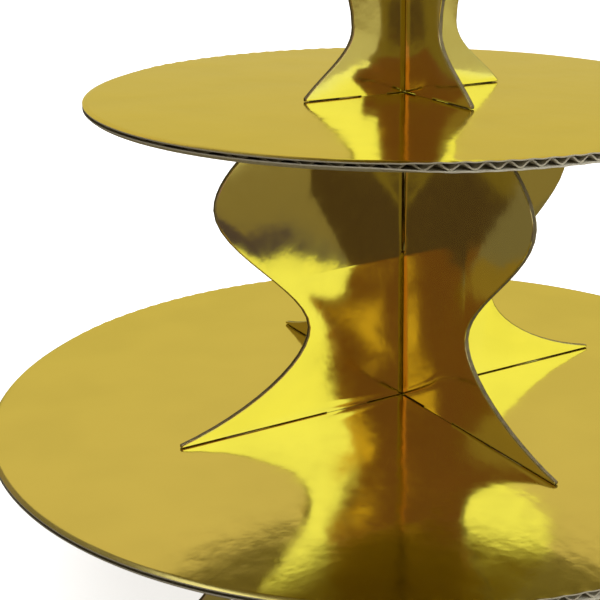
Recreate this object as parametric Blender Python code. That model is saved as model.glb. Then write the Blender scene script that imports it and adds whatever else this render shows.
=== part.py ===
"""Three-tier cake stand that slots together from flat gold-foil board, without glue.

Three round plates of corrugated board stand on three supports. Each support is a cross of
two shaped panels, halved over each other, with tabs in slots of the plates. Panel a has its
halving slot open at the top, and panel b slides down over it. Metres, +Z up, with the
origin on the floor under the middle of the foot.
"""

import math

import bmesh
import bpy

# ---- plates: corrugated board with a foil face
BOTTOM_RADIUS = 0.1500
MIDDLE_RADIUS = 0.1125
TOP_RADIUS = 0.0750
FACE_LINER = 0.0004  # foil-laminated paper on top
BACK_LINER = 0.0004  # plain paper underneath
FLUTE_HEIGHT = 0.0024  # crest to trough, with the paper
FLUTE_PITCH = 0.0063
FLUTE_PAPER = 0.0003
FLUTE_FLAT = 0.25  # share of a pitch that a crest or a trough stays level
FLUTE_TRIM = 0.0006  # the fluted sheet ends this far inside the rim
GLUE_LINE = 0.0001  # between the fluted sheet and each liner

# ---- cross panels: solid foil-faced board
PANEL_BOARD = 0.0020

# ---- clearances
SLOT_PLAY = 0.0003  # each side of a panel or a tab in its slot
SEAT_GAP = 0.0002  # under and over a plate, and between halved panels
LIFT_OVERRUN = 0.0010  # a slot cutter passes the board by this much

RIM_SEGMENTS = 96
CURVE_STEPS = 12  # points on each of a wing's three curves

# ---- supports. All radii are from the stand's axis, all heights from the support's base.
# toe: tip of the wing where it stands. waist: narrowest place. bulb: widest place above it.
# toe_pull and waist_pull bend the curves: shares of the step from toe to waist, and of the
# step from waist to bulb. base_tab and top_tab run from the first radius to the second.
FOOT = {
    "height": 0.0600,
    "toe": (0.0900, 0.0010),
    "toe_pull": (0.45, 0.20),
    "waist": (0.0820, 0.0090),
    "waist_pull": 0.32,
    "bulb": (0.1300, 0.0480),
    "shoulder_radius": 0.1220,
    "base_tab": None,
    "top_tab": (0.0540, 0.0740),
}
LOWER_PILLAR = {
    "height": 0.1120,
    "toe": (0.0910, 0.0010),
    "toe_pull": (0.51, 0.17),
    "waist": (0.0404, 0.0340),
    "waist_pull": 0.29,
    "bulb": (0.0760, 0.0820),
    "shoulder_radius": 0.0480,
    "base_tab": (0.0160, 0.0340),
    "top_tab": (0.0270, 0.0390),
}
UPPER_PILLAR = {
    "height": 0.1120,
    "toe": (0.0410, 0.0010),
    "toe_pull": (0.40, 0.36),
    "waist": (0.0218, 0.0240),
    "waist_pull": 0.42,
    "bulb": (0.0430, 0.0780),
    "shoulder_radius": 0.0300,
    "base_tab": (0.0080, 0.0190),
    "top_tab": (0.0120, 0.0240),
}
TOE_CATCH = 0.38  # how far up to the waist the toe's curve is already upright
BULB_CATCH = 0.33  # the same below the bulb
BULB_HOLD = 0.37  # how far the edge stays upright above the bulb
SHOULDER_PULL = (0.43, 0.27)

BOARD = BACK_LINER + GLUE_LINE + FLUTE_HEIGHT + GLUE_LINE + FACE_LINER
TAB_LENGTH = BOARD + SEAT_GAP  # a tab ends flush with the plate's far face

GOLD_FOIL = ("gold_foil_board", (0.78, 0.55, 0.13), 0.12, 1.0)
GOLD_FACE = ("gold_foil_paper", (0.80, 0.57, 0.14), 0.12, 1.0)
FLUTE_GREY = ("fluted_paper", (0.46, 0.42, 0.36), 0.90, 0.0)
BACK_WHITE = ("white_back_paper", (0.82, 0.80, 0.75), 0.75, 0.0)


def clear_scene():
    for obj in list(bpy.data.objects):
        bpy.data.objects.remove(obj, do_unlink=True)


def material(name, colour, roughness, metallic):
    """A Principled material, made once and shared."""
    found = bpy.data.materials.get(name)
    if found:
        return found
    mat = bpy.data.materials.new(name)
    mat.use_nodes = True
    shader = mat.node_tree.nodes["Principled BSDF"]
    shader.inputs["Base Color"].default_value = (*colour, 1.0)
    shader.inputs["Roughness"].default_value = roughness
    shader.inputs["Metallic"].default_value = metallic
    return mat


def finish_mesh(name, bm, finish=None):
    """Turn a bmesh into an object in the scene, with its faces pointing out."""
    bmesh.ops.recalc_face_normals(bm, faces=bm.faces[:])
    mesh = bpy.data.meshes.new(name)
    bm.to_mesh(mesh)
    bm.free()
    obj = bpy.data.objects.new(name, mesh)
    bpy.context.scene.collection.objects.link(obj)
    if finish:
        mesh.materials.append(material(*finish))
    return obj


def add_frame(name, parent, parent_height, height):
    """An empty on the stand's axis, which carries one piece and all that stands on it."""
    frame = bpy.data.objects.new(name, None)
    frame.empty_display_size = 0.02
    frame.parent = parent
    frame.location = (0.0, 0.0, height - parent_height)
    bpy.context.scene.collection.objects.link(frame)
    return frame


# ---------------------------------------------------------------- cross panels


def bezier(p0, p1, p2, p3):
    """Points on a cubic curve, after its start and up to its end."""
    points = []
    for step in range(1, CURVE_STEPS + 1):
        t = step / CURVE_STEPS
        s = 1.0 - t
        weights = (s**3, 3 * s * s * t, 3 * s * t * t, t**3)
        points.append(tuple(sum(w * p[i] for w, p in zip(weights, (p0, p1, p2, p3))) for i in (0, 1)))
    return points


def wing_edge(support):
    """Free edge of one wing, from the toe's foot up to the shoulder, as (radius, height)."""
    toe, waist, bulb = support["toe"], support["waist"], support["bulb"]
    shoulder = (support["shoulder_radius"], support["height"])
    pull_in, pull_up = support["toe_pull"]
    rise = waist[1] - toe[1]
    swell = bulb[1] - waist[1]
    close = shoulder[1] - bulb[1]
    edge = [(toe[0], 0.0), toe]
    edge += bezier(
        toe,
        (toe[0] - pull_in * (toe[0] - waist[0]), toe[1] + pull_up * rise),
        (waist[0], waist[1] - TOE_CATCH * rise),
        waist,
    )
    edge += bezier(
        waist,
        (waist[0], waist[1] + support["waist_pull"] * swell),
        (bulb[0], bulb[1] - BULB_CATCH * swell),
        bulb,
    )
    edge += bezier(
        bulb,
        (bulb[0], bulb[1] + BULB_HOLD * close),
        (shoulder[0] + SHOULDER_PULL[0] * (bulb[0] - shoulder[0]), shoulder[1] - SHOULDER_PULL[1] * close),
        shoulder,
    )
    return edge


def tab_edge(tab, base, end):
    """The four corners of a tab, from its inner side to its outer side."""
    if tab is None:
        return []
    inner, outer = tab
    return [(inner, base), (inner, end), (outer, end), (outer, base)]


def panel_outline(support, open_at_top):
    """Closed outline of a panel with its tabs and its halving slot, in (across, up)."""
    height = support["height"]
    half_slot = PANEL_BOARD / 2 + SLOT_PLAY
    base = tab_edge(support["base_tab"], 0.0, -TAB_LENGTH)
    top = tab_edge(support["top_tab"], height, height + TAB_LENGTH)[::-1]
    if open_at_top:
        top += [(half_slot, height), (half_slot, (height - SEAT_GAP) / 2)]
    else:
        base = [(half_slot, (height + SEAT_GAP) / 2), (half_slot, 0.0)] + base
    right = base + wing_edge(support) + top
    left = [(-across, up) for across, up in reversed(right)]
    return right + left


def make_panel(name, support, open_at_top, frame):
    """One board panel. Panel a lies along X; panel b, open at the bottom, along Y."""
    bm = bmesh.new()
    outline = panel_outline(support, open_at_top)
    near = [bm.verts.new((across, -PANEL_BOARD / 2, up)) for across, up in outline]
    sheet = bm.faces.new(near)
    grown = bmesh.ops.extrude_face_region(bm, geom=[sheet])
    moved = [item for item in grown["geom"] if isinstance(item, bmesh.types.BMVert)]
    bmesh.ops.translate(bm, verts=moved, vec=(0.0, PANEL_BOARD, 0.0))
    panel = finish_mesh(name, bm, GOLD_FOIL)
    panel.parent = frame
    if not open_at_top:
        panel.rotation_euler = (0.0, 0.0, math.pi / 2)
    return panel


# ---------------------------------------------------------------- plates


def make_liner(name, radius, low, thickness, finish):
    """A round sheet of paper, with its underside at the height low."""
    bm = bmesh.new()
    rim = bmesh.ops.create_circle(bm, cap_ends=True, segments=RIM_SEGMENTS, radius=radius)
    bmesh.ops.translate(bm, verts=rim["verts"], vec=(0.0, 0.0, low))
    grown = bmesh.ops.extrude_face_region(bm, geom=bm.faces[:])
    moved = [item for item in grown["geom"] if isinstance(item, bmesh.types.BMVert)]
    bmesh.ops.translate(bm, verts=moved, vec=(0.0, 0.0, thickness))
    return finish_mesh(name, bm, finish)


def flute_stations(reach):
    """Bends of the fluted sheet as (x, underside height), inside plus and minus reach."""
    rise = FLUTE_HEIGHT - FLUTE_PAPER
    half_flat = FLUTE_FLAT * FLUTE_PITCH / 2
    half_waves = math.ceil(2 * reach / FLUTE_PITCH) + 1
    stations = []
    for wave in range(-half_waves, half_waves + 1):
        middle = wave * FLUTE_PITCH / 2
        height = rise if wave % 2 else 0.0
        stations += [(middle - half_flat, height), (middle + half_flat, height)]
    return [station for station in stations if abs(station[0]) < reach]


def make_fluting(name, radius, low):
    """The corrugated sheet between the liners. Its flutes run along Y and end at the rim."""
    reach = radius - FLUTE_TRIM
    bm = bmesh.new()
    sections = []
    for x, height in flute_stations(reach):
        half_chord = math.sqrt(reach * reach - x * x)
        under, over = low + height, low + height + FLUTE_PAPER
        corners = ((-half_chord, under), (half_chord, under), (half_chord, over), (-half_chord, over))
        sections.append([bm.verts.new((x, y, z)) for y, z in corners])
    for here, there in zip(sections, sections[1:]):
        for corner in range(4):
            after = (corner + 1) % 4
            bm.faces.new((here[corner], here[after], there[after], there[corner]))
    bm.faces.new(sections[0])
    bm.faces.new(sections[-1][::-1])
    return finish_mesh(name, bm, FLUTE_GREY)


def make_slot_cutter(name, tabs, frame):
    """Blocks that cut the plate's slots: one for each tab, in all four directions."""
    half_width = PANEL_BOARD / 2 + SLOT_PLAY
    low, high = -LIFT_OVERRUN, BOARD + LIFT_OVERRUN
    bm = bmesh.new()
    for inner, outer in tabs:
        length = outer - inner + 2 * SLOT_PLAY
        for turn in range(4):
            angle = turn * math.pi / 2
            block = bmesh.ops.create_cube(bm, size=1.0)["verts"]
            bmesh.ops.scale(bm, verts=block, vec=(length, 2 * half_width, high - low))
            bmesh.ops.translate(bm, verts=block, vec=((inner + outer) / 2, 0.0, (low + high) / 2))
            spin = ((math.cos(angle), -math.sin(angle), 0.0), (math.sin(angle), math.cos(angle), 0.0))
            for vert in block:
                x, y = vert.co.x, vert.co.y
                vert.co.x, vert.co.y = (row[0] * x + row[1] * y for row in spin)
    cutter = finish_mesh(name, bm)
    cutter.hide_render = True
    cutter.display_type = "WIRE"
    cutter.parent = frame
    return cutter


def make_plate(tier, radius, tabs, frame):
    """A corrugated plate in its three layers, with slots for the supports' tabs."""
    flutes_low = BACK_LINER + GLUE_LINE
    face_low = flutes_low + FLUTE_HEIGHT + GLUE_LINE
    layers = [
        make_liner(tier + "_plate_back_liner", radius, 0.0, BACK_LINER, BACK_WHITE),
        make_fluting(tier + "_plate_fluted_core", radius, flutes_low),
        make_liner(tier + "_plate_foil_face", radius, face_low, FACE_LINER, GOLD_FACE),
    ]
    cutter = make_slot_cutter(tier + "_plate_slot_cutter", tabs, frame)
    for layer in layers:
        layer.parent = frame
        cut = layer.modifiers.new("slots", "BOOLEAN")
        cut.operation = "DIFFERENCE"
        cut.object = cutter


# ---------------------------------------------------------------- the stand


def main():
    clear_scene()
    storeys = (
        ("foot", FOOT, "bottom", BOTTOM_RADIUS, LOWER_PILLAR),
        ("lower_pillar", LOWER_PILLAR, "middle", MIDDLE_RADIUS, UPPER_PILLAR),
        ("upper_pillar", UPPER_PILLAR, "top", TOP_RADIUS, None),
    )
    frame, floor, height = None, 0.0, 0.0
    for label, support, tier, radius, standing_on_it in storeys:
        for letter, open_at_top in (("a", True), ("b", False)):
            frame = add_frame(label + "_frame_" + letter, frame, floor, height)
            make_panel(label + "_panel_" + letter, support, open_at_top, frame)
            floor = height
        underside = height + support["height"] + SEAT_GAP
        frame = add_frame(tier + "_plate_frame", frame, floor, underside)
        tabs = [support["top_tab"]]
        if standing_on_it:
            tabs.append(standing_on_it["base_tab"])
        make_plate(tier, radius, tabs, frame)
        floor, height = underside, underside + BOARD + SEAT_GAP


main()
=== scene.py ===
"""Looks of a three-tier cake stand that slots together from gold-foil board.

The frame holds the stand's real shape. This script gives each layer of board its finish:
mirror-bright gold foil, grey board cut through at the panels' edges, and corrugated plates
whose flutes show along the rim. It is laid out as an add-on, and runs as a script.
"""

import math

import bpy
from mathutils import Matrix, Vector


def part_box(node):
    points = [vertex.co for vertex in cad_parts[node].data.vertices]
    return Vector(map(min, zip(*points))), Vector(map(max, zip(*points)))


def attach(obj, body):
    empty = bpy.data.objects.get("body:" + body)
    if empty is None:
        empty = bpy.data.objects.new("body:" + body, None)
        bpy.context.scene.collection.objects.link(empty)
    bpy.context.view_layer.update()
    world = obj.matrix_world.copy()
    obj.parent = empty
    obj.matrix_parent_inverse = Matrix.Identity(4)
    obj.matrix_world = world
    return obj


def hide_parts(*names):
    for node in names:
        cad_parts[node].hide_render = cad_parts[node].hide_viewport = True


bl_info = {
    "name": "Foil Board Cake Stand",
    "version": (1, 0, 0),
    "blender": (4, 5, 0),
    "location": "3D View > Sidebar > Cake Stand",
    "description": "Finishes a slot-together cake stand of gold-foil board",
    "category": "Object",
}

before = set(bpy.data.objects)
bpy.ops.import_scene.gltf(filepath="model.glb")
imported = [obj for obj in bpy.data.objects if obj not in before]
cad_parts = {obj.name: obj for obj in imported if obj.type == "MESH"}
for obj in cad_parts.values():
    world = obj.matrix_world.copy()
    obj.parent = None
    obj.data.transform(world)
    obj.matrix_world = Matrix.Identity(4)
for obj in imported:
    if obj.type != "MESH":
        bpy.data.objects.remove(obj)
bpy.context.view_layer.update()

TIERS = ("bottom", "middle", "top")
SUPPORTS = ("foot", "lower_pillar", "upper_pillar")
MM = 0.001
WHITE = (1.0, 1.0, 1.0)


# ------------------------------------------------------------------ measures of the frame


def srgb(code):
    """Linear colour of an sRGB hex value such as F2D04A."""
    linear = []
    for start in (0, 2, 4):
        value = int(code[start : start + 2], 16) / 255
        linear.append(value / 12.92 if value <= 0.04045 else ((value + 0.055) / 1.055) ** 2.4)
    return tuple(linear)


def tab_span(node, level, above):
    """Inner and outer radius of a panel's tabs, which are all it has beyond a level."""
    reaches = []
    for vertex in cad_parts[node].data.vertices:
        x, y, z = vertex.co
        if (z > level) if above else (z < level):
            reaches.append(max(abs(x), abs(y)))
    return (min(reaches), max(reaches)) if reaches else None


def plate_tabs(tier):
    """Radial spans of all the tabs that stand in a tier's plate."""
    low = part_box(tier + "_plate_back_liner")[0].z
    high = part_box(tier + "_plate_foil_face")[1].z
    middle = (low + high) / 2
    place = TIERS.index(tier)
    spans = [tab_span(SUPPORTS[place] + "_panel_a", middle, above=True)]
    if place + 1 < len(SUPPORTS):
        spans.append(tab_span(SUPPORTS[place + 1] + "_panel_a", middle, above=False))
    return [span for span in spans if span]


# ------------------------------------------------------------------ sizes and colours


class CakeStandSizes(bpy.types.PropertyGroup):
    """Sizes of what the board shows up close."""

    flute_pitch: bpy.props.FloatProperty(
        name="Flute pitch",
        description="From one crest of the corrugated sheet to the next",
        default=6.3 * MM,
        unit="LENGTH",
    )
    flute_paper: bpy.props.FloatProperty(
        name="Flute paper",
        description="Thickness of the corrugated sheet",
        default=0.45 * MM,
        unit="LENGTH",
    )
    flute_setback: bpy.props.FloatProperty(
        name="Flute setback",
        description="How far the corrugated sheet stops inside the rim",
        default=0.70 * MM,
        unit="LENGTH",
    )
    crush_width: bpy.props.FloatProperty(
        name="Crush width",
        description="Width of the rim that the cutting die pressed together",
        default=1.8 * MM,
        unit="LENGTH",
    )
    crush_along: bpy.props.FloatProperty(
        name="Crush along the flutes",
        description="How far the foil face sinks where the rim runs along a flute",
        default=0.45 * MM,
        unit="LENGTH",
    )
    crush_under: bpy.props.FloatProperty(
        name="Crush from below",
        description="How far the back liner rises where the rim runs along a flute",
        default=1.3 * MM,
        unit="LENGTH",
    )
    crush_across: bpy.props.FloatProperty(
        name="Crush across the flutes",
        description="How far a liner sinks between two flutes where the rim cuts across them",
        default=0.22 * MM,
        unit="LENGTH",
    )
    slot_play: bpy.props.FloatProperty(
        name="Slot play",
        description="Gap between a tab and the side of its slot",
        default=0.16 * MM,
        unit="LENGTH",
    )
    edge_round: bpy.props.FloatProperty(
        name="Edge round",
        description="Radius to which the die rolled the foil over a panel's outline",
        default=0.40 * MM,
        unit="LENGTH",
    )
    slot_round: bpy.props.FloatProperty(
        name="Slot round",
        description="Radius to which a halving slot and a standing edge are pressed",
        default=0.95 * MM,
        unit="LENGTH",
    )
    rim_steps: bpy.props.IntProperty(
        name="Rim steps",
        description="Sides of the plates' round rims, a multiple of four",
        default=1080,
    )


class CakeStandColours(bpy.types.PropertyGroup):
    """Colours of the board and of the stage."""

    foil: bpy.props.FloatVectorProperty(
        name="Gold foil",
        description="Gold lacquer over the metal film",
        default=srgb("F9EA8E"),
        size=3,
        subtype="COLOR",
        min=0.0,
        max=1.0,
    )
    board: bpy.props.FloatVectorProperty(
        name="Board",
        description="Grey recycled board, seen where a panel is cut",
        default=srgb("8F8260"),
        size=3,
        subtype="COLOR",
        min=0.0,
        max=1.0,
    )
    flute: bpy.props.FloatVectorProperty(
        name="Flute paper",
        description="Light grey paper of the corrugated sheet",
        default=srgb("C8C2AC"),
        size=3,
        subtype="COLOR",
        min=0.0,
        max=1.0,
    )
    liner: bpy.props.FloatVectorProperty(
        name="Back liner",
        description="White paper under the plates",
        default=srgb("D8D3C0"),
        size=3,
        subtype="COLOR",
        min=0.0,
        max=1.0,
    )
    floor: bpy.props.FloatVectorProperty(
        name="Floor",
        description="Pale studio floor",
        default=srgb("FAFAFA"),
        size=3,
        subtype="COLOR",
        min=0.0,
        max=1.0,
    )


class CakeStandShot(bpy.types.PropertyGroup):
    """Where the camera stands and how it looks."""

    azimuth: bpy.props.FloatProperty(
        name="Azimuth",
        description="Side from which the camera sees the stand; zero looks along +Y",
        default=math.radians(-33.435),
        subtype="ANGLE",
    )
    distance: bpy.props.FloatProperty(
        name="Distance",
        description="From the stand's axis, along the floor",
        default=0.4761,
        unit="LENGTH",
    )
    height: bpy.props.FloatProperty(
        name="Height",
        description="Above the bottom plate",
        default=0.1995,
        unit="LENGTH",
    )
    yaw: bpy.props.FloatProperty(
        name="Yaw",
        description="Turn away from the stand's axis",
        default=math.radians(-0.18),
        subtype="ANGLE",
    )
    pitch: bpy.props.FloatProperty(
        name="Pitch",
        description="How far the camera looks down",
        default=math.radians(14.585),
        subtype="ANGLE",
    )
    roll: bpy.props.FloatProperty(
        name="Roll",
        description="Lean of the camera to its left",
        default=math.radians(0.479),
        subtype="ANGLE",
    )
    lens: bpy.props.FloatProperty(
        name="Lens",
        description="Focal length in millimetres on a 36 mm wide sensor",
        default=80.75,
    )
    shift: bpy.props.FloatVectorProperty(
        name="Shift",
        description="Framing shift across and up, as shares of the frame",
        default=(-0.18, -0.1667),
        size=2,
    )


# ------------------------------------------------------------------ small helpers


def only_select(obj):
    """Make one object the only one that the next operator acts on."""
    bpy.ops.object.select_all(action="DESELECT")
    obj.select_set(True)
    bpy.context.view_layer.objects.active = obj


def settle(obj, name):
    """Name a piece, and put its place and size into its mesh."""
    only_select(obj)
    bpy.ops.object.transform_apply(location=True, rotation=True, scale=True)
    obj.name = name
    obj.data.name = name
    return obj


def apply_modifier(obj, kind, **settings):
    """Add a modifier with its settings and apply it at once."""
    only_select(obj)
    modifier = obj.modifiers.new(kind.lower(), kind)
    for key, value in settings.items():
        setattr(modifier, key, value)
    bpy.ops.object.modifier_apply(modifier=modifier.name)


def select_faces(obj, wanted):
    """Enter edit mode with just those faces selected that a test picks."""
    only_select(obj)
    bpy.ops.object.mode_set(mode="EDIT")
    bpy.ops.mesh.select_mode(type="FACE")
    bpy.ops.mesh.select_all(action="DESELECT")
    bpy.ops.object.mode_set(mode="OBJECT")
    for polygon in obj.data.polygons:
        polygon.select = wanted(polygon)
    bpy.ops.object.mode_set(mode="EDIT")


def leave_edit():
    bpy.ops.object.mode_set(mode="OBJECT")


def assign(obj, slot, wanted):
    """Give the picked faces one of the object's materials."""
    select_faces(obj, wanted)
    obj.active_material_index = slot
    bpy.ops.object.material_slot_assign()
    leave_edit()


def shade(obj, degrees):
    only_select(obj)
    bpy.ops.object.shade_smooth_by_angle(angle=math.radians(degrees))


def declare(piece, body, node):
    """Hang a piece on the empty of the body it rides on, and hide the frame's node that it
    replaces.
    """
    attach(piece, body)
    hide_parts(node)


# ------------------------------------------------------------------ materials


def new_material(name):
    material = bpy.data.materials.new(name)
    material.use_nodes = True
    material.node_tree.nodes.clear()
    return material, material.node_tree


def add_node(tree, kind, values=None, links=None, stops=(), **settings):
    """Add a node with its settings, socket values, incoming links and any two colour stops."""
    made = tree.nodes.new(kind)
    for key, value in settings.items():
        setattr(made, key, value)
    if stops:
        for element, (position, colour) in zip(made.color_ramp.elements, stops):
            element.position = position
            element.color = (*colour, 1.0)
    for key, value in (values or {}).items():
        made.inputs[key].default_value = value
    for key, source in (links or {}).items():
        tree.links.new(source, made.inputs[key])
    return made


def tinted(colour, share):
    """A colour made lighter or darker by a share."""
    return tuple(min(1.0, part * share) for part in colour)


def gold_foil(name, colour, washboard_pitch=None, dull=0.0, creased=False):
    """Metal film under gold lacquer, laminated to board.

    The lacquer lies over the metal, so the mirror image stays gold even at a low angle. The
    board under the film shows as slow waves and small ripples that bend what it reflects,
    and on a plate also as faint lines over the flutes. Where the film is rolled over a cut
    it is stretched, and so a little duller.
    """
    material, tree = new_material(name)
    place = add_node(tree, "ShaderNodeTexCoord").outputs["Object"]
    # slow waves of the board, about 26 mm long
    swell = add_node(
        tree,
        "ShaderNodeTexNoise",
        {"Scale": 1 / (26 * MM), "Detail": 1.0, "Roughness": 0.4},
        {"Vector": place},
    )
    # ripples of the glue, about 6 mm long
    ripples = add_node(
        tree,
        "ShaderNodeTexNoise",
        {"Scale": 1 / (6 * MM), "Detail": 2.0, "Roughness": 0.5},
        {"Vector": place},
    )
    # grain of the film, really 0.1 mm, drawn at 0.8 mm so that it shows
    grain = add_node(
        tree,
        "ShaderNodeTexNoise",
        {"Scale": 1 / (0.8 * MM), "Detail": 2.0, "Roughness": 0.6},
        {"Vector": place},
    )
    relief = add_node(
        tree,
        "ShaderNodeBump",
        {"Strength": 1.0, "Distance": 0.22 * MM},
        {"Height": swell.outputs["Fac"]},
    )
    relief = add_node(
        tree,
        "ShaderNodeBump",
        {"Strength": 1.0, "Distance": 0.042 * MM},
        {"Height": ripples.outputs["Fac"], "Normal": relief.outputs["Normal"]},
    )
    relief = add_node(
        tree,
        "ShaderNodeBump",
        {"Strength": 1.0, "Distance": 0.0014 * MM},
        {"Height": grain.outputs["Fac"], "Normal": relief.outputs["Normal"]},
    )
    if washboard_pitch:
        # the flutes run along Y, one every pitch along X; the wave's own period is 2 pi / 20
        lines = add_node(
            tree,
            "ShaderNodeTexWave",
            {"Scale": math.pi / 10 / washboard_pitch, "Distortion": 0.0},
            {"Vector": place},
            wave_type="BANDS",
            bands_direction="X",
            wave_profile="SIN",
        )
        relief = add_node(
            tree,
            "ShaderNodeBump",
            {"Strength": 1.0, "Distance": 0.006 * MM},
            {"Height": lines.outputs["Fac"], "Normal": relief.outputs["Normal"]},
        )
    if creased:
        # the film dips by 0.3 mm, over 2 mm, to the halving slot, on the stand's axis
        parts = add_node(tree, "ShaderNodeSeparateXYZ", links={"Vector": place})
        from_x, from_y = (
            add_node(tree, "ShaderNodeMath", links={0: parts.outputs[key]}, operation="ABSOLUTE")
            for key in ("X", "Y")
        )
        reach = add_node(
            tree,
            "ShaderNodeMath",
            links={0: from_x.outputs["Value"], 1: from_y.outputs["Value"]},
            operation="MAXIMUM",
        )
        dip = add_node(
            tree,
            "ShaderNodeMapRange",
            {"From Min": 1.0 * MM, "From Max": 3.0 * MM},
            {"Value": reach.outputs["Value"]},
            interpolation_type="SMOOTHSTEP",
        )
        relief = add_node(
            tree,
            "ShaderNodeBump",
            {"Strength": 1.0, "Distance": 0.30 * MM},
            {"Height": dip.outputs["Result"], "Normal": relief.outputs["Normal"]},
        )
    haze = add_node(
        tree,
        "ShaderNodeMapRange",
        {"From Min": 0.3, "From Max": 0.7, "To Min": 0.09 + dull, "To Max": 0.14 + dull},
        {"Value": ripples.outputs["Fac"]},
    )
    lacquer = add_node(
        tree,
        "ShaderNodeValToRGB",
        links={"Fac": swell.outputs["Fac"]},
        stops=((0.35, tinted(colour, 0.96)), (0.65, tinted(colour, 1.0))),
    )
    shader = add_node(
        tree,
        "ShaderNodeBsdfPrincipled",
        {
            "Metallic": 1.0,
            "Specular Tint": (*srgb("FCF3B4"), 1.0),
            "Coat Weight": 0.05,
            "Coat Roughness": 0.08,
        },
        {
            "Base Color": lacquer.outputs["Color"],
            "Roughness": haze.outputs["Result"],
            "Normal": relief.outputs["Normal"],
            "Coat Normal": relief.outputs["Normal"],
        },
    )
    add_node(tree, "ShaderNodeOutputMaterial", links={"Surface": shader.outputs["BSDF"]})
    return material


def cut_greyboard(name, colour, across):
    """Recycled grey board where the die cut it: matt, fibrous, in thin pressed layers.

    The layers lie one behind another through the panel, so they run along X or Y.
    """
    material, tree = new_material(name)
    place = add_node(tree, "ShaderNodeTexCoord").outputs["Object"]
    # pressed layers through the board, one every 0.42 mm
    layers = add_node(
        tree,
        "ShaderNodeTexWave",
        {
            "Scale": math.pi / 10 / (0.42 * MM),
            "Distortion": 1.6,
            "Detail": 2.0,
            "Detail Scale": 0.6,
        },
        {"Vector": place},
        wave_type="BANDS",
        bands_direction=across,
        wave_profile="SIN",
    )
    # torn fibres, about 0.3 mm long
    fibres = add_node(
        tree,
        "ShaderNodeTexNoise",
        {"Scale": 1 / (0.3 * MM), "Detail": 3.0, "Roughness": 0.6},
        {"Vector": place},
    )
    # darker patches of recycled pulp, a few millimetres long
    pulp = add_node(
        tree,
        "ShaderNodeTexNoise",
        {"Scale": 1 / (3 * MM), "Detail": 2.0},
        {"Vector": place},
    )
    tone = add_node(
        tree,
        "ShaderNodeValToRGB",
        links={"Fac": pulp.outputs["Fac"]},
        stops=((0.3, tinted(colour, 0.72)), (0.7, tinted(colour, 1.18))),
    )
    seams = add_node(
        tree,
        "ShaderNodeValToRGB",
        links={"Fac": layers.outputs["Fac"]},
        stops=((0.1, tinted(WHITE, 0.55)), (0.6, WHITE)),
    )
    mixed = add_node(
        tree,
        "ShaderNodeMix",
        {"Factor": 0.8},
        {"A": tone.outputs["Color"], "B": seams.outputs["Color"]},
        data_type="RGBA",
        blend_type="MULTIPLY",
    )
    relief = add_node(
        tree,
        "ShaderNodeBump",
        {"Strength": 1.0, "Distance": 0.08 * MM},
        {"Height": fibres.outputs["Fac"]},
    )
    shader = add_node(
        tree,
        "ShaderNodeBsdfPrincipled",
        {"Roughness": 0.92, "IOR": 1.47},
        {"Base Color": mixed.outputs["Result"], "Normal": relief.outputs["Normal"]},
    )
    add_node(tree, "ShaderNodeOutputMaterial", links={"Surface": shader.outputs["BSDF"]})
    return material


def uncoated_paper(name, colour, fleck, fibre_length, washboard_pitch=None):
    """Uncoated paper: matt, with soft fibres and darker flecks of recycled pulp."""
    material, tree = new_material(name)
    place = add_node(tree, "ShaderNodeTexCoord").outputs["Object"]
    fibres = add_node(
        tree,
        "ShaderNodeTexNoise",
        {"Scale": 1 / fibre_length, "Detail": 4.0, "Roughness": 0.65},
        {"Vector": place},
    )
    flecks = add_node(
        tree,
        "ShaderNodeTexVoronoi",
        {"Scale": 1 / (2.4 * MM), "Randomness": 1.0},
        {"Vector": place},
    )
    tone = add_node(
        tree,
        "ShaderNodeValToRGB",
        links={"Fac": fibres.outputs["Fac"]},
        stops=((0.3, tinted(colour, 0.88)), (0.7, tinted(colour, 1.05))),
    )
    spots = add_node(
        tree,
        "ShaderNodeValToRGB",
        links={"Fac": flecks.outputs["Distance"]},
        stops=((0.05, tinted(WHITE, fleck)), (0.14, WHITE)),
    )
    mixed = add_node(
        tree,
        "ShaderNodeMix",
        {"Factor": 1.0},
        {"A": tone.outputs["Color"], "B": spots.outputs["Color"]},
        data_type="RGBA",
        blend_type="MULTIPLY",
    )
    relief = add_node(
        tree,
        "ShaderNodeBump",
        {"Strength": 1.0, "Distance": 0.03 * MM},
        {"Height": fibres.outputs["Fac"]},
    )
    if washboard_pitch:
        lines = add_node(
            tree,
            "ShaderNodeTexWave",
            {"Scale": math.pi / 10 / washboard_pitch, "Distortion": 0.0},
            {"Vector": place},
            wave_type="BANDS",
            bands_direction="X",
            wave_profile="SIN",
        )
        relief = add_node(
            tree,
            "ShaderNodeBump",
            {"Strength": 1.0, "Distance": 0.06 * MM},
            {"Height": lines.outputs["Fac"], "Normal": relief.outputs["Normal"]},
        )
    shader = add_node(
        tree,
        "ShaderNodeBsdfPrincipled",
        {"Roughness": 0.88, "IOR": 1.47},
        {"Base Color": mixed.outputs["Result"], "Normal": relief.outputs["Normal"]},
    )
    add_node(tree, "ShaderNodeOutputMaterial", links={"Surface": shader.outputs["BSDF"]})
    return material


def plain(name, colour, roughness, glow_level):
    """A plain stage surface, lit a little from below."""
    material, tree = new_material(name)
    shader = add_node(
        tree,
        "ShaderNodeBsdfPrincipled",
        {
            "Base Color": (*colour, 1.0),
            "Roughness": roughness,
            "Emission Color": (*colour, 1.0),
            "Emission Strength": glow_level,
        },
    )
    add_node(tree, "ShaderNodeOutputMaterial", links={"Surface": shader.outputs["BSDF"]})
    return material


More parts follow.
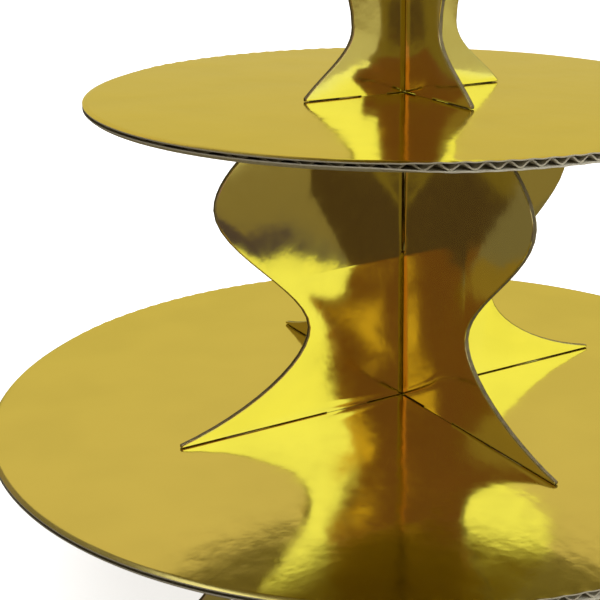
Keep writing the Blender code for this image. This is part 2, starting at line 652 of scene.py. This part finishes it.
def glow(name, low, high, span, level):
    """A studio card lit evenly across, and from a low to a high colour over a span of heights."""
    material, tree = new_material(name)
    place = add_node(tree, "ShaderNodeTexCoord").outputs["Object"]
    height = add_node(tree, "ShaderNodeSeparateXYZ", links={"Vector": place}).outputs["Z"]
    share = add_node(
        tree,
        "ShaderNodeMapRange",
        {"From Min": span[0], "From Max": span[1]},
        {"Value": height},
    )
    colour = add_node(
        tree,
        "ShaderNodeValToRGB",
        links={"Fac": share.outputs["Result"]},
        stops=((0.0, low), (1.0, high)),
    )
    light = add_node(
        tree,
        "ShaderNodeEmission",
        {"Strength": level},
        {"Color": colour.outputs["Color"]},
    )
    add_node(tree, "ShaderNodeOutputMaterial", links={"Surface": light.outputs["Emission"]})
    return material


def finish(make, name, *values, **settings):
    """A material by name, made the first time it is asked for."""
    return bpy.data.materials.get(name) or make(name, *values, **settings)


def rolled_foil(colours):
    """The gold foil where it is rolled over a cut or pressed down with a rim."""
    return finish(gold_foil, "gold_foil_rolled", colours.foil, dull=0.08)


def flute_paper(colours):
    """The recycled paper of the corrugated sheet and of the papers' cut edges."""
    return finish(
        uncoated_paper, "grey_flute_paper", colours.flute, fleck=0.62, fibre_length=0.7 * MM
    )


# ------------------------------------------------------------------ plates


def rim_wave(x, pitch):
    """0 over a crest of the corrugated sheet and 1 over a trough; a trough lies at x = 0."""
    return 0.5 + 0.5 * math.cos(2 * math.pi * x / pitch)


def along_flutes(x, radius):
    """0 where the rim cuts across the flutes and 1 where it runs along one."""
    share = min(1.0, max(0.0, (abs(x) / radius - 0.42) / 0.22))
    return share * share * (3.0 - 2.0 * share)


def crush_rim(obj, radius, sizes, face):
    """Press a liner's rim into the flutes: a face sinks, and a back liner rises to meet it."""
    inside = radius - sizes.crush_width
    for vertex in obj.data.vertices:
        reach = math.hypot(vertex.co.x, vertex.co.y)
        if reach <= inside:
            continue
        depth = min(1.0, (reach - inside) / sizes.crush_width)
        wave = rim_wave(vertex.co.x, sizes.flute_pitch)
        along = along_flutes(vertex.co.x / reach * radius, radius)
        if face:
            sink = (1.0 - along) * sizes.crush_across * wave + along * sizes.crush_along
            vertex.co.z -= sink * depth**1.4
        else:
            rise = (1.0 - along) * 0.5 * sizes.crush_across * (1.0 - wave)
            vertex.co.z += (rise + along * sizes.crush_under) * depth**1.4


def cut_slots(obj, tier, play):
    """Cut the slots of all of a plate's tabs through one of its layers."""
    low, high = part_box(tier + "_plate_back_liner")[0].z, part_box(tier + "_plate_foil_face")[1].z
    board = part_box("foot_panel_a")
    width = board[1].y - board[0].y + 2 * play
    blocks = []
    for inner, outer in plate_tabs(tier):
        for turn in range(4):
            angle = turn * math.pi / 2
            middle = (inner + outer) / 2
            bpy.ops.object.select_all(action="DESELECT")
            bpy.ops.mesh.primitive_cube_add(
                size=1.0,
                location=(math.cos(angle) * middle, math.sin(angle) * middle, (low + high) / 2),
                rotation=(0.0, 0.0, angle),
                scale=(outer - inner + 2 * play, width, (high - low) * 2),
            )
            blocks.append(bpy.context.active_object)
    bpy.ops.object.select_all(action="DESELECT")
    for block in blocks:
        block.select_set(True)
    bpy.context.view_layer.objects.active = blocks[0]
    bpy.ops.object.join()
    cutter = settle(blocks[0], "slot_cutter")
    apply_modifier(obj, "BOOLEAN", operation="DIFFERENCE", object=cutter)
    bpy.data.objects.remove(cutter, do_unlink=True)


def make_liner(tier, layer, name, sizes, face):
    """A round sheet of paper of the plate, with its rim pressed into the flutes."""
    low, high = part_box(layer)
    radius = high.x
    bpy.ops.object.select_all(action="DESELECT")
    bpy.ops.mesh.primitive_cylinder_add(
        vertices=sizes.rim_steps,
        radius=radius,
        depth=high.z - low.z,
        end_fill_type="NGON",
        location=(0.0, 0.0, (low.z + high.z) / 2),
    )
    obj = settle(bpy.context.active_object, name)
    # seven rings take the crush, and one more keeps the middle of the sheet flat
    for width in (0.10, 0.14, 0.15, 0.15, 0.15, 0.15, 0.16, 0.20):
        select_faces(obj, lambda polygon: len(polygon.vertices) > 4)
        bpy.ops.mesh.inset(thickness=width * sizes.crush_width, use_individual=True)
        leave_edit()
    crush_rim(obj, radius, sizes, face)
    cut_slots(obj, tier, sizes.slot_play)
    shade(obj, 40)
    return obj


def make_fluting(tier, layer, name, sizes):
    """The corrugated sheet, a sine wave whose flutes run along Y and end at the rim."""
    low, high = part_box(layer)
    full_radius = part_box(tier + "_plate_foil_face")[1].x
    steps_in_wave = 12
    waves = math.ceil(2 * full_radius / sizes.flute_pitch) + 1
    bpy.ops.object.select_all(action="DESELECT")
    bpy.ops.mesh.primitive_grid_add(
        x_subdivisions=waves * steps_in_wave,
        y_subdivisions=1,
        size=1.0,
        location=(0.0, 0.0, 0.0),
    )
    obj = bpy.context.active_object
    obj.scale = (waves * sizes.flute_pitch, 2.2 * full_radius, 1.0)
    settle(obj, name)
    height = (high.z - low.z - sizes.flute_paper) / 2
    middle = (low.z + high.z) / 2
    for vertex in obj.data.vertices:
        vertex.co.z = middle - height * math.cos(2 * math.pi * vertex.co.x / sizes.flute_pitch)
    apply_modifier(obj, "SOLIDIFY", thickness=sizes.flute_paper, offset=0.0)
    bpy.ops.object.select_all(action="DESELECT")
    bpy.ops.mesh.primitive_cylinder_add(
        vertices=360,
        radius=full_radius - sizes.flute_setback,
        depth=4 * (high.z - low.z),
        location=(0.0, 0.0, middle),
    )
    round_cutter = settle(bpy.context.active_object, "round_cutter")
    for vertex in round_cutter.data.vertices:
        pulled = along_flutes(vertex.co.x, full_radius) * sizes.crush_width / full_radius
        vertex.co.x *= 1.0 - pulled
        vertex.co.y *= 1.0 - pulled
    apply_modifier(obj, "BOOLEAN", operation="INTERSECT", object=round_cutter)
    bpy.data.objects.remove(round_cutter, do_unlink=True)
    cut_slots(obj, tier, sizes.slot_play)
    shade(obj, 50)
    return obj


class CAKESTAND_OT_foil_faces(bpy.types.Operator):
    """Make the gold faces of the three plates"""

    bl_idname = "cakestand.foil_faces"
    bl_label = "Foil Faces"

    def execute(self, context):
        sizes, colours = context.scene.cakestand_sizes, context.scene.cakestand_colours
        foil = finish(
            gold_foil, "gold_foil_over_flutes", colours.foil, washboard_pitch=sizes.flute_pitch
        )
        for tier in TIERS:
            layer = tier + "_plate_foil_face"
            face = make_liner(tier, layer, tier + "_plate_gold_paper", sizes, face=True)
            for material in (foil, rolled_foil(colours), flute_paper(colours)):
                face.data.materials.append(material)
            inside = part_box(layer)[1].x - sizes.crush_width
            assign(face, 1, lambda polygon: polygon.center.xy.length > inside)
            assign(face, 2, lambda polygon: polygon.normal.z < 0.02)
            declare(face, tier + "_plate", layer)
        return {"FINISHED"}


class CAKESTAND_OT_back_liners(bpy.types.Operator):
    """Make the plain paper under the three plates"""

    bl_idname = "cakestand.back_liners"
    bl_label = "Back Liners"

    def execute(self, context):
        sizes, colours = context.scene.cakestand_sizes, context.scene.cakestand_colours
        paper = finish(
            uncoated_paper,
            "white_liner_paper",
            colours.liner,
            fleck=0.86,
            fibre_length=1.1 * MM,
            washboard_pitch=sizes.flute_pitch,
        )
        for tier in TIERS:
            layer = tier + "_plate_back_liner"
            liner = make_liner(tier, layer, tier + "_plate_back_paper", sizes, face=False)
            liner.data.materials.append(paper)
            declare(liner, tier + "_plate", layer)
        return {"FINISHED"}


class CAKESTAND_OT_fluted_cores(bpy.types.Operator):
    """Make the corrugated sheets inside the three plates"""

    bl_idname = "cakestand.fluted_cores"
    bl_label = "Fluted Cores"

    def execute(self, context):
        sizes, colours = context.scene.cakestand_sizes, context.scene.cakestand_colours
        for tier in TIERS:
            layer = tier + "_plate_fluted_core"
            core = make_fluting(tier, layer, tier + "_plate_flutes", sizes)
            core.data.materials.append(flute_paper(colours))
            declare(core, tier + "_plate", layer)
        return {"FINISHED"}


# ------------------------------------------------------------------ cross panels


def make_panel(node, name):
    """A panel's outline from the frame, with only the edges of its outline left."""
    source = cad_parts[node]
    obj = source.copy()
    obj.data = source.data.copy()
    for key in list(obj.keys()):
        del obj[key]
    bpy.context.scene.collection.objects.link(obj)
    obj.parent = None
    settle(obj, name)
    obj.data.materials.clear()
    select_faces(obj, lambda polygon: True)
    bpy.ops.mesh.remove_doubles(threshold=0.000001)
    bpy.ops.mesh.dissolve_limited(angle_limit=math.radians(0.2))
    leave_edit()
    return obj


def roll_edges(panel, flat, sizes):
    """Round the edges between a panel's two faces and its cut, more at slots and at its foot."""
    along = 1 - flat
    standing = min(vertex.co.z for vertex in panel.data.vertices if abs(vertex.co[along]) < 0.002)
    beside = {}
    for polygon in panel.data.polygons:
        for key in polygon.edge_keys:
            beside.setdefault(key, []).append(abs(polygon.normal[flat]))
    weights = panel.data.attributes.new("bevel_weight_edge", "FLOAT", "EDGE")
    for edge in panel.data.edges:
        tilts = beside.get(tuple(sorted(edge.vertices)), [])
        if len(tilts) != 2 or max(tilts) < 0.9 or min(tilts) > 0.1:
            continue
        ends = [panel.data.vertices[index].co for index in edge.vertices]
        in_slot = all(abs(end[along]) < 0.002 for end in ends)
        stands = all(abs(end.z - standing) < 0.0001 for end in ends)
        share = 1.0 if in_slot or stands else sizes.edge_round / sizes.slot_round
        weights.data[edge.index].value = share
    apply_modifier(
        panel,
        "BEVEL",
        width=sizes.slot_round,
        segments=4,
        limit_method="WEIGHT",
        use_clamp_overlap=True,
    )


class CAKESTAND_OT_panels(bpy.types.Operator):
    """Make the six crossed panels of the foot and of both pillars"""

    bl_idname = "cakestand.panels"
    bl_label = "Crossed Panels"

    def execute(self, context):
        sizes, colours = context.scene.cakestand_sizes, context.scene.cakestand_colours
        foil = finish(gold_foil, "gold_foil_on_board", colours.foil, creased=True)
        for support in SUPPORTS:
            for letter, through, flat in (("a", "Y", 1), ("b", "X", 0)):
                name = "cut_greyboard_through_" + through.lower()
                cut = finish(cut_greyboard, name, colours.board, through)
                node = support + "_panel_" + letter
                panel = make_panel(node, support + "_board_" + letter)
                for material in (foil, cut, rolled_foil(colours)):
                    panel.data.materials.append(material)
                roll_edges(panel, flat, sizes)
                assign(panel, 1, lambda polygon: abs(polygon.normal[flat]) < 0.1)
                assign(panel, 2, lambda polygon: 0.1 <= abs(polygon.normal[flat]) < 0.99)
                shade(panel, 35)
                declare(panel, support + "_" + letter, node)
        return {"FINISHED"}


# ------------------------------------------------------------------ stage


def add_card(name, centre, across, up, level, low, high=None):
    """A glowing card that only reflections see, spanned by two vectors from its centre."""
    bpy.ops.object.select_all(action="DESELECT")
    bpy.ops.mesh.primitive_plane_add(size=2.0, location=(0.0, 0.0, 0.0))
    card = bpy.context.active_object
    for vertex in card.data.vertices:
        vertex.co = centre + across * vertex.co.x + up * vertex.co.y
    card.name = name
    span = (centre.z - up.z, centre.z + up.z + 0.0001)
    card.data.materials.append(glow(name, low, high or low, span, level))
    card.visible_camera = False
    card.visible_diffuse = False
    card.visible_shadow = False
    return card


def add_softbox(name, place, aim, size, radiance):
    """A soft rectangular lamp of an even radiance, turned to a point."""
    width, height = size
    bpy.ops.object.light_add(type="AREA", location=place)
    lamp = bpy.context.active_object
    lamp.name = name
    lamp.data.shape = "RECTANGLE"
    lamp.data.size, lamp.data.size_y = width, height
    lamp.data.energy = radiance * math.pi * width * height
    lamp.rotation_euler = (aim - place).to_track_quat("-Z", "Y").to_euler()
    lamp.visible_glossy = False
    return lamp


class CAKESTAND_OT_stage(bpy.types.Operator):
    """Set up the floor, the studio cards, the lamps and the camera"""

    bl_idname = "cakestand.stage"
    bl_label = "Stage"

    def execute(self, context):
        shot = context.scene.cakestand_shot
        colours = context.scene.cakestand_colours
        heading = shot.azimuth + shot.yaw
        away = Vector((-math.sin(shot.azimuth), math.cos(shot.azimuth), 0.0))
        right = Vector((math.cos(shot.azimuth), math.sin(shot.azimuth), 0.0))
        up = Vector((0.0, 0.0, 1.0))
        plate_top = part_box("bottom_plate_foil_face")[1].z

        # the floor and the backdrop show in no reflection, as if the stand stood on a glass
        # table in a dark room
        bpy.ops.object.select_all(action="DESELECT")
        bpy.ops.mesh.primitive_plane_add(size=24.0, location=(0.0, 0.0, -0.0002))
        floor = bpy.context.active_object
        floor.name = "studio_floor"
        table = plain("pale_light_table", colours.floor, roughness=0.9, glow_level=0.80)
        floor.data.materials.append(table)
        floor.visible_diffuse = False
        floor.visible_glossy = False
        bpy.ops.object.select_all(action="DESELECT")
        bpy.ops.mesh.primitive_uv_sphere_add(segments=48, ring_count=24, radius=11.0)
        backdrop = bpy.context.active_object
        backdrop.name = "studio_backdrop"
        backdrop.data.materials.append(glow("white_backdrop", WHITE, WHITE, (0.0, 1.0), 1.0))
        backdrop.visible_diffuse = False
        backdrop.visible_glossy = False
        backdrop.visible_shadow = False

        # what the mirror-bright foil sees in the dark room; the wings at the front left and
        # at the right mirror one side, and the corner between two wings mirrors the front
        lean = math.radians(23.2)
        side = right * math.cos(lean) - away * math.sin(lean)
        past = right * math.sin(lean) + away * math.cos(lean)
        far, near, daylight = (1.0, 0.93, 0.62), (1.0, 0.80, 0.40), (0.84, 1.0, 1.0)
        brown, umber, dusk = (0.40, 0.225, 0.66), (0.50, 0.36, 0.60), (1.0, 0.80, 0.66)
        amber, rust = (1.0, 0.86, 0.90), (1.0, 0.50, 0.70)
        front_high = away * -1.38 + right * 0.24 + up * 0.82
        front_right = away * -1.3 + right * 0.80 + up * 0.6
        low_right = side * 1.15 + past * 0.2 - up * 0.001
        cards = (
            ("card_behind", away * 1.6 + up * 0.75, right, up * 0.7, 0.62, far, near),
            ("card_right", side * 1.5 + up * 0.98, past * 0.75, up * 0.74, 1.25, daylight),
            ("card_right_low", side * 1.6 + up * 0.1, past * 0.75, up * 0.14, 0.5, far),
            ("card_in_front", away * -1.4 + up * 0.85, right * 0.6, up * 0.6, 0.40, brown),
            ("card_front_high", front_high, right * 0.2, up * 0.12, 0.72, amber),
            ("card_front_right", front_right, right * 0.30, up * 0.55, 0.5, rust),
            ("card_left", side * -1.3 + up * 0.45, past * 0.8, up * 0.5, 0.24, dusk),
            ("card_overhead", up * 1.8 + away * 0.3, right * 0.8, away * 0.8, 1.2, WHITE),
            ("card_low_front", away * -0.85 - up * 0.003, right * 0.3, away * 0.7, 0.14, umber),
            ("card_low_right", low_right, past * 0.7, side * 0.75, 0.22, near),
        )
        for card in cards:
            add_card(*card)

        target = Vector((0.0, 0.0, 0.15))
        add_softbox("softbox_right", side * 1.5 + up * 0.85, target, (1.4, 1.2), 3.4)
        bpy.ops.object.light_add(type="SUN", location=(0.0, 0.0, 3.0))
        overhead = bpy.context.active_object
        overhead.name = "soft_overhead"
        overhead.data.energy = 2.0
        overhead.data.angle = math.radians(80.0)
        overhead.visible_glossy = False

        world = bpy.data.worlds.new("dim_studio")
        world.use_nodes = True
        background = world.node_tree.nodes["Background"]
        background.inputs["Color"].default_value = (1.0, 0.85, 0.6, 1.0)
        background.inputs["Strength"].default_value = 0.17
        context.scene.world = world
        context.scene.view_settings.view_transform = "Standard"

        data = bpy.data.cameras.new("camera")
        camera = bpy.data.objects.new("camera", data)
        context.scene.collection.objects.link(camera)
        data.sensor_width = 36.0
        data.lens = shot.lens
        data.shift_x, data.shift_y = shot.shift
        data.clip_start, data.clip_end = 0.01, 50.0
        camera.matrix_world = (
            Matrix.Translation(away * -shot.distance + up * (plate_top + shot.height))
            @ Matrix.Rotation(heading, 4, "Z")
            @ Matrix.Rotation(math.pi / 2 - shot.pitch, 4, "X")
            @ Matrix.Rotation(shot.roll, 4, "Z")
        )
        context.scene.camera = camera
        return {"FINISHED"}


# ------------------------------------------------------------------ add-on


class CAKESTAND_PT_sidebar(bpy.types.Panel):
    """The stand's pieces and sizes in the sidebar"""

    bl_idname = "CAKESTAND_PT_sidebar"
    bl_label = "Cake Stand"
    bl_space_type = "VIEW_3D"
    bl_region_type = "UI"
    bl_category = "Cake Stand"

    def draw(self, context):
        layout = self.layout
        for operator in OPERATORS:
            layout.operator(operator.bl_idname)
        scene = context.scene
        for group in (scene.cakestand_sizes, scene.cakestand_colours, scene.cakestand_shot):
            box = layout.box()
            for key in group.__annotations__:
                box.prop(group, key)


OPERATORS = (
    CAKESTAND_OT_stage,
    CAKESTAND_OT_panels,
    CAKESTAND_OT_foil_faces,
    CAKESTAND_OT_fluted_cores,
    CAKESTAND_OT_back_liners,
)
GROUPS = (CakeStandSizes, CakeStandColours, CakeStandShot)
CLASSES = (*GROUPS, *OPERATORS, CAKESTAND_PT_sidebar)


def register():
    for cls in CLASSES:
        bpy.utils.register_class(cls)
    bpy.types.Scene.cakestand_sizes = bpy.props.PointerProperty(type=CakeStandSizes)
    bpy.types.Scene.cakestand_colours = bpy.props.PointerProperty(type=CakeStandColours)
    bpy.types.Scene.cakestand_shot = bpy.props.PointerProperty(type=CakeStandShot)


def unregister():
    del bpy.types.Scene.cakestand_shot
    del bpy.types.Scene.cakestand_colours
    del bpy.types.Scene.cakestand_sizes
    for cls in reversed(CLASSES):
        bpy.utils.unregister_class(cls)


def main():
    """Make every piece in order."""
    register()
    bpy.ops.cakestand.stage()
    bpy.ops.cakestand.panels()
    bpy.ops.cakestand.foil_faces()
    bpy.ops.cakestand.fluted_cores()
    bpy.ops.cakestand.back_liners()


if __name__ == "__main__":
    main()
